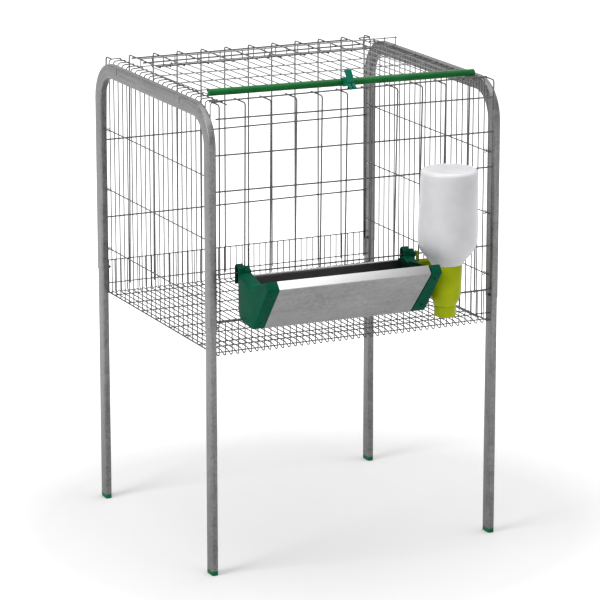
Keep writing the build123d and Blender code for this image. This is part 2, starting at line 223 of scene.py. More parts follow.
class Piece:                    # collects faces, then becomes one object
    def __init__(self, name):
        self.name = name
        self.mesh = bmesh.new()
        self.uv = self.mesh.loops.layers.uv.new("UVMap")

    def loft(self, rings, closed=False):
        rows = [[self.mesh.verts.new(place * mm) for place in ring] for ring in rings]
        pairs = list(zip(rows, rows[1:]))
        if closed:
            pairs.append((rows[-1], rows[0]))
        length = 0
        for one, two in pairs:
            step = (one[0].co - two[0].co).length
            around = 0
            for n in range(len(one)):
                m = (n + 1) % len(one)
                face = self.mesh.faces.new((one[n], one[m], two[m], two[n]))
                width = (one[n].co - one[m].co).length
                corners = ((0, 0), (width, 0), (width, step), (0, step))
                for loop, (u, v) in zip(face.loops, corners):
                    loop[self.uv].uv = (around + u, length + v)
                around += width
            length += step
        if not closed:
            self.mesh.faces.new(rows[0][::-1])
            self.mesh.faces.new(rows[-1])

    def ringsAlong(self, route, section, hint, closed=False):
        rings = []
        normal = hint
        for n, place in enumerate(route):
            before = route[n - 1] if closed or n else place
            after = route[(n + 1) % len(route)] if closed or n < len(route) - 1 else place
            way = (place - before).normalized() + (after - place).normalized()
            way.normalize()
            normal = (normal - way * normal.dot(way)).normalized()
            cross = way.cross(normal)
            rings.append([place + normal * a + cross * b for a, b in section])
        return rings

    def tube(self, corners, size, bend=0.0, hint=None, sides=8, steps=5, closed=False):
        if closed:
            route = roundLoop(corners, [bend] * len(corners), steps)
        else:
            route = roundRoute(corners, bend, steps) if bend else list(corners)
        way = (route[1] - route[0]).normalized()
        hint = hint or (point(1, 0, 0) if abs(way.x) < 0.9 else point(0, 0, 1))
        rings = self.ringsAlong(route, circle(size / 2, sides), hint, closed)
        if not closed:          # wire ends are cut with a small chamfer
            rings = [self.shrink(rings[0], -way * wireChamfer)] + rings
            far = (route[-1] - route[-2]).normalized()
            rings.append(self.shrink(rings[-1], far * wireChamfer))
        self.loft(rings, closed)

    def straight(self, half, y, z, size):       # wire along X
        self.tube([point(-half, y, z), point(half, y, z)], size)

    def shrink(self, ring, shift, share=0.75):
        middle = sum(ring, Vector()) / len(ring)
        return [middle + (place - middle) * share + shift for place in ring]

    def slab(self, loop, startX, endX, edge=0.0, steps=3):
        way = 1 if endX > startX else -1
        turns = quarter(steps) if edge else [pi / 2]
        near, far = [], []
        for turn in turns:      # a quarter round along both rims
            ring = insetLoop(loop, edge * (1 - sin(turn)))
            reach = way * edge * (1 - cos(turn))
            near.append([place + point(startX + reach, 0, 0) for place in ring])
            far.append([place + point(endX - reach, 0, 0) for place in ring])
        self.loft(near + far[::-1])

    def lathe(self, profile, centreX, centreY, sides=64):
        rings = []
        for radius, z in profile:
            rings.append([point(centreX + a, centreY + b, z) for a, b in circle(max(radius, 0.01), sides)])
        self.loft(rings)

    def turned(self, profile, x, side, y, z, sides):        # round part along X, out from the middle plane
        rings = []
        for reach, radius in profile:
            rings.append([point(side * (x + reach), y + a, z + b) for a, b in circle(radius, sides)])
        self.loft(rings)

    def done(self, body, slotName, material, replaced=()):
        bmesh.ops.recalc_face_normals(self.mesh, faces=self.mesh.faces)
        data = bpy.data.meshes.new(self.name)
        self.mesh.to_mesh(data)
        self.mesh.free()
        data.polygons.foreach_set("use_smooth", [True] * len(data.polygons))
        data.set_sharp_from_angle(angle=sharpAngle)
        data.materials.append(material)
        item = bpy.data.objects.new(self.name, data)
        bpy.context.scene.collection.objects.link(item)
        if body:
            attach(item, body)
        if replaced:
            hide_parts(*replaced)
        return item


def carve(item, cutter):        # takes the cutter's shape out of the item
    tool = cutter.done(None, None, item.data.materials[0])
    cut = item.modifiers.new("carve", "BOOLEAN")
    cut.object = tool
    cut.solver = "EXACT"
    shaped = item.evaluated_get(bpy.context.evaluated_depsgraph_get())
    data = bpy.data.meshes.new_from_object(shaped)
    item.modifiers.clear()
    item.data = data
    data.set_sharp_from_angle(angle=sharpAngle)
    bpy.data.objects.remove(tool)


# materials

def galvanised(name, dark, light, kind, rough, metal, streaks, spangle):
    finish = Finish(name)
    lines = finish.noise(finish.stretched(streaks, kind), 1.0, 4.0, 0.6)
    cloud = finish.noise(finish.place(), 28.0, 3.0)
    flake = finish.flakes(spangle)
    level = lines * 0.5 + cloud * 0.35 + flake * 0.15
    colour = finish.mix(finish.ramp(level, 0.3, 0.7), tone(*dark), tone(*light))
    roughness = rough + (cloud - 0.5) * 0.25 + (flake - 0.5) * 0.08
    normal = finish.bump(lines, 0.05, 0.5)
    return finish.surface({
        "Base Color": colour, "Metallic": metal, "Roughness": roughness, "Normal": normal})


def moulded(name, dark, light, rough, grain, shine):
    finish = Finish(name)
    cloud = finish.noise(finish.place(), 22.0, 4.0)
    fine = finish.noise(finish.place(), grain, 2.0, 0.6)
    colour = finish.mix(finish.ramp(cloud, 0.35, 0.7), tone(*dark), tone(*light))
    roughness = rough + (fine - 0.5) * 0.2 + (cloud - 0.5) * 0.15
    return finish.surface({
        "Base Color": colour, "Roughness": roughness, "Normal": finish.bump(fine, 0.06, 0.6),
        "Specular IOR Level": shine})


def troughZincAndPaintedLight(name):         # bright rolled zinc, with painted shade inside the trough and a painted highlight along its lip
    finish = Finish(name)
    grain = finish.noise(finish.stretched((9, 120, 120)), 1.0, 4.0, 0.6)
    cloud = finish.noise(finish.place(), 16.0, 3.0)
    flake = finish.flakes(180)
    level = finish.ramp(grain * 0.4 + cloud * 0.4 + flake * 0.2, 0.3, 0.7)
    bright = finish.mix(level, tone(134, 135, 134), tone(158, 159, 158))
    across, depth, height = [finish.along(axis) for axis in "XYZ"]
    # places in metres are scaled and shifted here, to fall within a ramp's 0 to 1
    above = finish.ramp(height * 10 - 5.4, 0.06, 0.1)
    # painted shade: inside the trough, behind the fold and under the rim, the zinc is painted dark grey
    within = finish.ramp(depth * 10 + 2.6, 0.1, 0.3) * (1 - above)      # behind the fold and under the rim
    fade = finish.ramp(across * 3 + 0.64, 0.0, 1.0)     # painted highlight: the lip is painted bright at its left end, fading to grey towards the right
    paintedHighlight = finish.mix(fade, tone(222, 223, 222), tone(118, 119, 118))
    level = (height + across * troughSag) * 10 - 5.4    # the lip sags with the trough
    lip = finish.ramp(level, 0.115, 0.125) * finish.ramp(depth * -10 - 2.6, 0.2, 0.3)
    colour = finish.mix(lip, finish.mix(within, bright, tone(82, 81, 80)), paintedHighlight)
    roughness = 0.34 + (cloud - 0.5) * 0.2 + (flake - 0.5) * 0.08
    normal = finish.bump(grain, 0.05, 0.5)
    return finish.surface({
        "Base Color": colour, "Metallic": 0.7, "Roughness": roughness, "Normal": normal})


def milky(name):
    finish = Finish(name)
    cloud = finish.noise(finish.place(), 18.0, 3.0)
    fine = finish.noise(finish.place(), 420.0, 2.0)
    level = finish.ramp(cloud, 0.3, 0.75)
    colour = finish.mix(level, tone(214, 214, 218), tone(232, 232, 234))
    return finish.surface({
        "Base Color": colour, "Roughness": 0.34 + (fine - 0.5) * 0.12,
        "Subsurface Weight": 0.35, "Subsurface Radius": (0.02, 0.02, 0.02), "Subsurface Scale": 0.3,
        "Normal": finish.bump(cloud, 0.12, 0.4)})


drawn = (150, 150, 150)         # streaks of drawn wire
tubeSteel = galvanised("tube_steel", (86, 87, 86), (137, 138, 137), "UV", 0.42, 0.75, (520, 9, 1), 260)
wireSteel = galvanised("wire_steel", (74, 73, 73), (108, 107, 106), "Object", 0.42, 0.7, drawn, 500)
lidSteel = galvanised("lid_steel", (104, 104, 104), (150, 150, 150), "Object", 0.4, 0.7, drawn, 500)
sheetSteel = troughZincAndPaintedLight("sheet_steel")
# a brighter zinc: the panel ties' own silver, and a painted highlight on the trough's back hem and front
# bead
rimSteel = galvanised(
    "rim_steel", (168, 169, 168), (204, 205, 204), "Object", 0.34, 0.7, (60, 300, 300), 400)
screwSteel = galvanised("screw_steel", (50, 50, 50), (80, 80, 80), "Object", 0.4, 0.8, (300, 300, 300), 600)
railPlastic = moulded("rail_green", (0, 92, 36), (6, 110, 46), 0.32, 500, 0.16)
clipPlastic = moulded("clip_teal", (0, 98, 76), (6, 114, 88), 0.36, 600, 0.08)
bracketPlastic = moulded("bracket_green", (0, 72, 52), (3, 84, 62), 0.4, 450, 0.03)
# painted shade: a near-black copy of the bracket green, for the hollows inside the trough's end caps
paintedShadePlastic = moulded("bracket_painted_shade", (0, 22, 16), (0, 32, 24), 0.6, 450, 0.05)
footPlastic = moulded("foot_green", (0, 92, 56), (8, 108, 68), 0.5, 500, 0.15)
limePlastic = moulded("drinker_lime", (160, 176, 6), (180, 194, 14), 0.38, 480, 0.1)
bottlePlastic = milky("bottle_milky")
print("materials ready")


# frame tubes and legs

tubes = {
    "sideX": 283.15, "frontY": -188.65, "rearY": 312.65, "beamZ": 846.65, "lowZ": 455,
    "bend": 61.65, "width": 13.7, "depth": 26.7, "corner": 3.2, "wall": 0.8,
    "plugDepth": 12, "bendSteps": 14,
    "slotY": (-72, 217), "slotZ": 852, "slotHalf": 1.3, "slotHigh": 6, "slotBend": 1.2,
    "slotFrom": 6.2, "slotTo": 9,
    "dimpleZ": 460.5, "dimpleY": (-194, 304), "dimple": ((9.0, 3.4), (6.9, 2.0), (6.2, 1.0)),
    "screw": ((5.6, 1.2), (6.5, 1.2), (6.62, 0.9)),
    "nut": ((-7.2, 3), (-9.4, 3), (-9.4, 1.6), (-11.4, 1.6), (-11.7, 1.2)),
}
legs = {"width": 12, "depth": 25, "corner": 2.6, "stations": (8, 120, 240, 360, 495)}
cap = {"corner": 2.8, "profile": ((0, -0.9), (0.4, -0.3), (1.2, 0), (8.4, 0), (9, -0.3))}


def buildFrame(side, name):
    x = side * tubes["sideX"]
    route = roundRoute([
        point(x, tubes["frontY"], tubes["lowZ"]), point(x, tubes["frontY"], tubes["beamZ"]),
        point(x, tubes["rearY"], tubes["beamZ"]), point(x, tubes["rearY"], tubes["lowZ"])],
        tubes["bend"], tubes["bendSteps"])
    piece = Piece(name)
    outer = roundBox(tubes["width"], tubes["depth"], tubes["corner"])
    wall = 2 * tubes["wall"]
    inner = roundBox(tubes["width"] - wall, tubes["depth"] - wall, tubes["corner"] - tubes["wall"])
    hint = point(1, 0, 0)
    deep = point(0, 0, tubes["plugDepth"])
    bore = piece.ringsAlong(route, inner, hint)
    rings = piece.ringsAlong(route, outer, hint)
    rings = [[place + deep for place in bore[0]], bore[0]] + rings
    rings += [bore[-1], [place + deep for place in bore[-1]]]
    piece.loft(rings)
    frameTube = piece.done("cage", "galvanised_tube", tubeSteel, [name])
    cutter = Piece("cutter")
    half, near, far = tubes["slotHalf"], x + side * tubes["slotFrom"], x + side * tubes["slotTo"]
    low, high = tubes["slotZ"] - tubes["slotHigh"], tubes["slotZ"] + tubes["slotHigh"]
    for y in tubes["slotY"]:
        corners = inside([(y - half, low), (y + half, low), (y + half, high), (y - half, high)])
        cutter.slab(roundLoop(corners, [tubes["slotBend"]] * 4), near, far)
    for y in tubes["dimpleY"]:
        cutter.turned(tubes["dimple"], tubes["sideX"], side, y, tubes["dimpleZ"], 16)
    carve(frameTube, cutter)


def buildScrews():
    piece = Piece("frame_screws")
    for side in (-1, 1):
        for y in tubes["dimpleY"]:
            piece.turned(tubes["screw"], tubes["sideX"], side, y, tubes["dimpleZ"], 12)
            piece.turned(tubes["nut"], tubes["sideX"], side, y, tubes["dimpleZ"], 24)
    piece.done("cage", "galvanised_tube", screwSteel)


def buildLeg(x, y, name, capName):
    piece = Piece(name)
    section = roundBox(legs["width"], legs["depth"], legs["corner"])
    rings = []
    for z in legs["stations"]:
        rings.append([point(x + a, y + b, z) for a, b in section])
    piece.loft(rings)
    piece.done("cage", "galvanised_tube", tubeSteel, [name])
    foot = Piece(capName)
    rings = []
    for z, grow in cap["profile"]:
        shape = roundBox(legs["width"] + 2 * grow, legs["depth"] + 2 * grow, cap["corner"])
        rings.append([point(x + a, y + b, z) for a, b in shape])
    foot.loft(rings)
    foot.done("cage", "foot_plastic", footPlastic, [capName])


for side, hand in ((-1, "left"), (1, "right")):
    buildFrame(side, "frame_" + hand)
    for y, row in ((tubes["frontY"], "front"), (tubes["rearY"], "rear")):
        buildLeg(side * tubes["sideX"], y, "leg_" + row + "_" + hand, "foot_cap_" + row + "_" + hand)
buildScrews()
print("frames and legs ready")


# wire panels

wire = {"bar": 3.0, "mesh": 2.3, "roof": 862, "halfWidth": 276}
panel = {
    "crossX": 275.07, "uprightX": 273.21, "middleY": 62, "pitch": 21, "count": 23, "low": 410,
    "edgeX": 249.2, "crossZ": (497, 612, 727), "halfLength": 250.65, "bend": 6,
    "edgeFrontY": -191, "edgeOut": 0.9, "edgeDrop": 1.9, "edgePast": 3,
    "tieY": (-173.6, 297.6), "tieX": 274.47, "tieReach": 2.9, "tieWire": 1.7, "tieBend": 2.4,
}
front = {
    "barY": -196, "wireY": -198.3, "pitch": 50, "count": 12, "low": 467.7, "backY": -150,
    "bend": 5.5, "hookZ": 558, "shortX": (175, 225),
    "crossZ": ((471, 471), (558.6, 554.4), (708, 701.6), (773, 767), (838, 831)),
    "topLean": (7, 7, 7, 7, 7, 7, 7, 7, 7, 4.5, 3, 2.5),
    "lowLean": (6, 4, 3.4, 2.8, 2.2, 1.5, 0.8, 0, 0, 0, 0, 0),
    "shortGap": 1.3, "outerX": 260, "outerBackY": -165, "doorX": 243, "doorPast": 1,
    "topY": -171, "topZ": 864.3,
}
rear = {
    "barY": 320, "wireY": 322.3, "low": 420, "frontY": 172, "outerFrontY": 296, "crossZ": (553, 703),
    "topLean": (7, 4, 3, 2, 1.5, 1, 0.5, 0, -0.5, -1, -1.5, -1.5), "bend": 5,
    "stripY": (296, 242), "stripDrop": 2.3, "stripFrontY": 174, "stripFrontZ": 864.3, "stripHalf": 226.2,
}
floorMesh = {
    "frontY": -193.6, "rearY": 317.6, "top": 470, "level": 413, "dip": 407.5, "pitch": 12.7,
    "count": 43, "middleX": -3.1, "crossPitch": 65.3, "crossCount": 8, "middleY": 47.8, "crossZ": 411,
    "apronZ": (470.3, 425.5), "apronIn": 1.9, "edgeX": 274.4, "edgeZ": 410, "edgeIn": 3,
    "loop": 7, "rise": 20, "bend": 4.0,
}


def spread(count, pitch, middle=0.0):
    return [middle + (n - (count - 1) / 2) * pitch for n in range(count)]


def buildSidePanel(side, name):
    piece = Piece(name)
    x = side * panel["uprightX"]
    edge = side * panel["edgeX"]
    rows = spread(panel["count"], panel["pitch"], panel["middleY"])
    for y in rows:
        piece.tube(
            [point(x, y, panel["low"]), point(x, y, wire["roof"]), point(edge, y, wire["roof"])],
            wire["mesh"], panel["bend"], point(0, 1, 0))
    x = side * panel["crossX"]
    ahead = panel["middleY"] - panel["halfLength"]
    back = panel["middleY"] + panel["halfLength"]
    for z in panel["crossZ"]:
        piece.tube([point(x, ahead, z), point(x, back, z)], wire["mesh"])
    edge += side * panel["edgeOut"]
    y = rows[-1] + panel["edgePast"]
    z = wire["roof"] - panel["edgeDrop"]
    piece.tube([point(edge, panel["edgeFrontY"], z), point(edge, y, z)], wire["mesh"])
    piece.done("cage", "galvanised_wire", wireSteel, [name])


def buildFront():
    piece = Piece("front_mesh")
    y = front["barY"]
    roof = wire["roof"]
    for n, x in enumerate(spread(front["count"], front["pitch"])):      # the bars lean a little
        low = front["hookZ"] - front["shortGap"] if x in front["shortX"] else front["low"]
        back = front["outerBackY"] if abs(x) > front["outerX"] else front["backY"]
        foot = x + front["lowLean"][n]
        top = x + front["topLean"][n]
        corners = [point(foot, y, low), point(top, y, roof), point(top, back, roof)]
        piece.tube(corners, wire["bar"], front["bend"], point(1, 0, 0))
    x = front["doorX"]
    piece.tube([point(x, y, front["low"]), point(x, y, front["hookZ"] + front["doorPast"])], wire["bar"])
    half = wire["halfWidth"]
    for leftZ, rightZ in front["crossZ"]:
        piece.tube([point(-half, front["wireY"], leftZ), point(half, front["wireY"], rightZ)], wire["bar"])
    piece.done("cage", "galvanised_wire", wireSteel, ["front_mesh"])
    top = Piece("front_top_wire")
    top.straight(half, front["topY"], front["topZ"], wire["bar"])
    top.done("cage", "galvanised_wire", wireSteel, ["front_top_wire"])


def buildRear():
    piece = Piece("rear_mesh")
    y = rear["barY"]
    for n, x in enumerate(spread(front["count"], front["pitch"])):
        ahead = rear["outerFrontY"] if abs(x) > front["outerX"] else rear["frontY"]
        top = x + rear["topLean"][n]
        piece.tube(
            [point(x, y, rear["low"]), point(top, y, wire["roof"]), point(top, ahead, wire["roof"])],
            wire["bar"], rear["bend"], point(1, 0, 0))
    half = wire["halfWidth"]
    for z in rear["crossZ"]:
        piece.straight(half, rear["wireY"], z, wire["bar"])
    half = rear["stripHalf"]
    z = wire["roof"] - rear["stripDrop"]
    for y in rear["stripY"]:
        piece.straight(half, y, z, wire["bar"])
    piece.straight(half, rear["stripFrontY"], rear["stripFrontZ"], wire["bar"])
    piece.done("cage", "galvanised_wire", wireSteel, ["rear_mesh"])


def buildFloor():
    piece = Piece("floor_mesh")
    ahead = floorMesh["frontY"]
    back = floorMesh["rearY"]
    level, dip, top = floorMesh["level"], floorMesh["dip"], floorMesh["top"]
    loop, rise, edgeIn = floorMesh["loop"], floorMesh["rise"], floorMesh["edgeIn"]
    for x in spread(floorMesh["count"], floorMesh["pitch"], floorMesh["middleX"]):
        route = [
            point(x, ahead, top), point(x, ahead, dip), point(x, ahead + loop, dip),
            point(x, ahead + rise, level), point(x, back - rise, level), point(x, back - loop, dip),
            point(x, back, dip), point(x, back, top)]
        piece.tube(route, wire["mesh"], floorMesh["bend"], point(1, 0, 0), 6, 3)
    half = wire["halfWidth"]
    for y in spread(floorMesh["crossCount"], floorMesh["crossPitch"], floorMesh["middleY"]):
        piece.straight(half, y, floorMesh["crossZ"], wire["mesh"])
    for z in floorMesh["apronZ"]:
        for y in (ahead + floorMesh["apronIn"], back - floorMesh["apronIn"]):
            piece.straight(half, y, z, wire["mesh"])
    z = floorMesh["edgeZ"]
    for x in (-floorMesh["edgeX"], floorMesh["edgeX"]):
        piece.tube([point(x, ahead + edgeIn, z), point(x, back - edgeIn, z)], wire["bar"])
    piece.done("cage", "galvanised_wire", wireSteel, ["floor_mesh"])


def buildTies():                # small wire rings that hold the side panels to the tubes
    piece = Piece("panel_ties")
    r = panel["tieReach"]
    ring = ((r, r), (-r, r), (-r, -r), (r, -r))
    for x in (-panel["tieX"], panel["tieX"]):
        for y in panel["tieY"]:
            for z in panel["crossZ"]:
                corners = [point(x + a, y, z + b) for a, b in ring]
                piece.tube(corners, panel["tieWire"], panel["tieBend"], point(0, 1, 0), closed=True)
    piece.done("cage", "galvanised_wire", rimSteel)


for side, hand in ((-1, "left"), (1, "right")):
    buildSidePanel(side, "side_mesh_" + hand)
buildTies()
buildFront()
buildRear()
buildFloor()
print("wire panels ready")


# lid, rail, hinge links

lid = {
    "count": 24, "pitch": 22.83, "frontY": -141.7, "lipY": 166.1, "z": 866.02, "lipZ": 885,
    "bend": 2.2, "half": 265, "crossY": (84, 0, -84), "crossZ": 864.2, "hingeY": 168, "hingeZ": 868.45,
    "edgeIn": 0.9, "wireApart": 1.9, "twist": (1.3, -3.6),
}
rail = {
    "y": -142, "z": 869.95, "radius": 6.5, "wall": 1.8, "half": 265, "from": 12, "to": 318, "steps": 30,
    "edge": 0.5, "plugIn": 0.8, "plugDepth": 3, "plugGrow": 0.3, "plugEdge": 0.4,
}
links = {"x": (-200, 0, 200), "stripY": 174, "stripZ": 864.3, "wire": 1.9, "grow": 2.6, "bend": 2.4}


def lidLift(x, y):              # the real lid is a little twisted: its front left corner stands higher
    share = (lid["lipY"] - y) / (lid["lipY"] - lid["frontY"])
    return (lid["twist"][0] + lid["twist"][1] * x / lid["half"]) * share


def buildLid():
    piece = Piece("lid_mesh")
    half = lid["half"]

    def lifted(x, y, z):
        return point(x, y, z + lidLift(x, y))

    ahead, back, apart = lid["frontY"], lid["lipY"], lid["wireApart"]
    for x in spread(lid["count"], lid["pitch"]):
        corners = [lifted(x, ahead, lid["z"]), point(x, back, lid["z"]), point(x, back, lid["lipZ"])]
        piece.tube(corners, wire["mesh"], lid["bend"], point(1, 0, 0))
    rows = [(y, lid["crossZ"]) for y in lid["crossY"]]
    rows.append((lid["hingeY"], lid["hingeZ"]))
    rows.append((ahead + lid["edgeIn"], lid["z"] + apart))
    rows.append((back - apart, lid["lipZ"] - apart))
    for y, z in rows:
        piece.tube([lifted(-half, y, z), lifted(half, y, z)], wire["mesh"])
    piece.done("lid", "galvanised_wire", lidSteel, ["lid_mesh"])


def buildRail():
    piece = Piece("lid_rail")
    outer = rail["radius"]
    inner = outer - rail["wall"]
    start, end = radians(rail["from"]), radians(rail["to"])
    turns = [start + (end - start) * n / rail["steps"] for n in range(rail["steps"] + 1)]
    loop = [point(0, rail["y"] + outer * cos(turn), rail["z"] + outer * sin(turn)) for turn in turns]
    turns.reverse()
    loop += [point(0, rail["y"] + inner * cos(turn), rail["z"] + inner * sin(turn)) for turn in turns]
    piece.slab(loop, -rail["half"], rail["half"], rail["edge"])
    for side in (-1, 1):        # plugs that close both ends
        end = side * (rail["half"] - rail["plugIn"])
        disc = [point(0, rail["y"] + a, rail["z"] + b) for a, b in circle(inner + rail["plugGrow"], 24)]
        piece.slab(disc, end - side * rail["plugDepth"], end, rail["plugEdge"])
    for vertex in piece.mesh.verts:
        vertex.co.z += lidLift(vertex.co.x / mm, rail["y"]) * mm
    piece.done("lid", "rail_plastic", railPlastic, ["lid_rail"])


def buildLinks():
    piece = Piece("lid_hinge_rings")
    one = point(0, lid["hingeY"], lid["hingeZ"])
    two = point(0, links["stripY"], links["stripZ"])
    along = (two - one).normalized()
    aside = point(0, -along.z, along.y)
    grow = links["grow"]
    for x in links["x"]:
        shift = point(x, 0, 0)
        corners = [
            one - along * grow - aside * grow + shift, one - along * grow + aside * grow + shift,
            two + along * grow + aside * grow + shift, two + along * grow - aside * grow + shift]
        piece.tube(corners, links["wire"], links["bend"], point(1, 0, 0), closed=True)
    piece.done("cage", "galvanised_wire", wireSteel, ["lid_hinge_rings"])


buildLid()
buildRail()
buildLinks()
print("lid ready")


# latch clip

clip = {        # each arc has a radius, and start and end in degrees
    "x": 3, "half": 6.8, "slot": 0.9, "edge": 0.7,
    "ring": (8.2, 8, 80), "lobe": (9.4, 100, 118), "heel": (9.4, 222, 225), "bore": (6.9, 240, 8),
    "lever": ((-159.5, 884.5), (-151.3, 895.0), (-152.2, 895.9), (-154.8, 895.7),
              (-167.5, 876.5), (-166.4, 870.4), (-158.5, 867.6)),
    "hookBack": ((-160.5, 868.4), (-164.5, 875.2)), "hook": (5.6, 118, 186), "hookBore": (2.4, 194, -15),
    "lip": (5.4, -8, 40), "hookPast": 0.6, "hookEdge": 1.4,
    "gap": ((-180, 859), (-157, 859), (-161, 874), (-180, 874)),
}


def buildClip():
    railCentre = (rail["y"], rail["z"] + lid["twist"][0])
    wireCentre = (front["topY"], front["topZ"])

    def arc(centre, name, steps=10):
        radius, start, end = clip[name]
        turns = [radians(start + (end - start) * n / steps) for n in range(steps + 1)]
        return [(centre[0] + radius * cos(turn), centre[1] + radius * sin(turn)) for turn in turns]

    saddle = arc(railCentre, "ring") + arc(railCentre, "lobe", 2)
    saddle += clip["lever"]
    saddle += arc(railCentre, "heel", 1) + arc(railCentre, "bore")
    piece = Piece("latch_clip")
    left, right = clip["x"] - clip["half"], clip["x"] + clip["half"]
    piece.slab(inside(saddle), left, right, clip["edge"])
    hook = list(clip["hookBack"])
    hook += arc(wireCentre, "hook") + arc(wireCentre, "hookBore") + arc(wireCentre, "lip", 4)
    slotLeft, slotRight = clip["x"] - clip["slot"], clip["x"] + clip["slot"]
    for start, end in ((left - clip["hookPast"], slotLeft), (slotRight, right + clip["hookPast"])):
        piece.slab(inside(hook), start, end, clip["hookEdge"], 4)
    body = piece.done("clip", "clip_plastic", clipPlastic, ["latch_clip"])
    cutter = Piece("cutter")
    cutter.slab(inside(clip["gap"]), slotLeft, slotRight)
    carve(body, cutter)


buildClip()
print("clip ready")


# trough

trough = {
    "leftX": -213, "rightX": 84, "thick": 0.5, "hem": 3.2, "bead": 1.6, "slant": 8,
    "route": ((-203.5, 553), (-203.5, 468), (-260, 468), (-326, 553), (-315, 566)),
    "bends": (17, 8.5, 1.2), "rimZ": 553, "deep": 85, "wide": 66, "foldY": -326,
    "hemShift": (-0.6, -1.4), "beadShift": (0.65, 0),
}
ends = {
    "outline": ((-198.5, 551.5), (-198.5, 473), (-246, 468.3), (-260.5, 468), (-326, 553), (-315, 566),
                (-296, 559), (-252, 546), (-208, 558.5)),
    "bends": (2, 22, 12, 8.5, 2.4, 1.6, 7, 20, 3), "edge": 3.2, "ring": 12, "step": 5,
    "saddle": ((-209.5, 548), (-208, 567.5), (-197, 575.4), (-189, 569), (-189, 536), (-191.6, 536),
               (-191.6, 567), (-197.6, 571.8), (-205.2, 566), (-206.3, 548)),
    "saddleBends": (0, 5, 6, 5, 0.8, 0.8, 3, 3.5, 3, 0), "saddleEdge": 0.6,
    "web": ((-206, 560.4), (-205.2, 567), (-197.6, 572.4), (-191, 568), (-191, 542), (-195, 542),
            (-195, 560.4)),
    "webBends": (0, 2, 3, 3, 0, 0, 0), "webIn": 2.5, "webThick": 1.2,
    "tongueInset": 2, "tongueFrom": -4, "tongueTo": 5,
    "barX": -220.1, "barRoom": 2.2, "barCut": ((-199, 535), (-180, 535), (-180, 580), (-199, 580)),
    "hole": 1.5, "holeZ": (541, 483), "holeFrom": 3, "holeTo": -2.2,
    "lip": 0.4, "rimIn": 1.4, "crown": ((0.6, 0.8), (0.1, 0.5), (0, 0.2)),
}


def footward(place):            # 0 at the trough's rim, 1 at its floor
    return min(1, max(0, (trough["rimZ"] - place.z) / trough["deep"]))


def sagged(item):               # the trough hangs a little lower at its right end
    for vertex in item.data.vertices:
        vertex.co.z -= (vertex.co.x - trough["leftX"] * mm) * troughSag
    return item


def troughRoute():
    corners = inside(trough["route"])
    route = [corners[0]]
    for n, bend in enumerate(trough["bends"]):
        route += roundCorner(corners[n], corners[n + 1], corners[n + 2], bend, 8)
    return route + [corners[-1]]


def buildTrough():
    route = troughRoute()
    outer, inner = [], []
    for n, place in enumerate(route):
        one = (place - route[n - 1]).normalized() if n else (route[1] - place).normalized()
        two = (route[n + 1] - place).normalized() if n < len(route) - 1 else one
        way = (one + two).normalized()
        side = point(0, -way.z, way.y) * trough["thick"]
        outer.append(place - side)
        inner.append(place + side)
    loop = outer + inner[::-1]
    piece = Piece("trough_sheet")
    rings = []
    for x, slant in ((trough["leftX"], 0), (trough["rightX"], trough["slant"])):
        rings.append([place + point(x - slant * footward(place), 0, 0) for place in loop])
    piece.loft(rings)
    sagged(piece.done("cage", "galvanised_sheet", sheetSteel, ["trough_sheet"]))
    rim = Piece("trough_rim")   # folded hem at the back and beaded fold at the front, in brighter zinc as a painted highlight along both
    fold = inside(trough["route"])[3]
    length = point(trough["rightX"] - trough["leftX"], 0, 0)
    for place, shift, size in (
            (route[0], trough["hemShift"], trough["hem"]), (fold, trough["beadShift"], trough["bead"])):
        start = place + point(trough["leftX"], *shift)
        rim.tube([start, start + length], size)
    sagged(rim.done("cage", "galvanised_sheet", rimSteel))


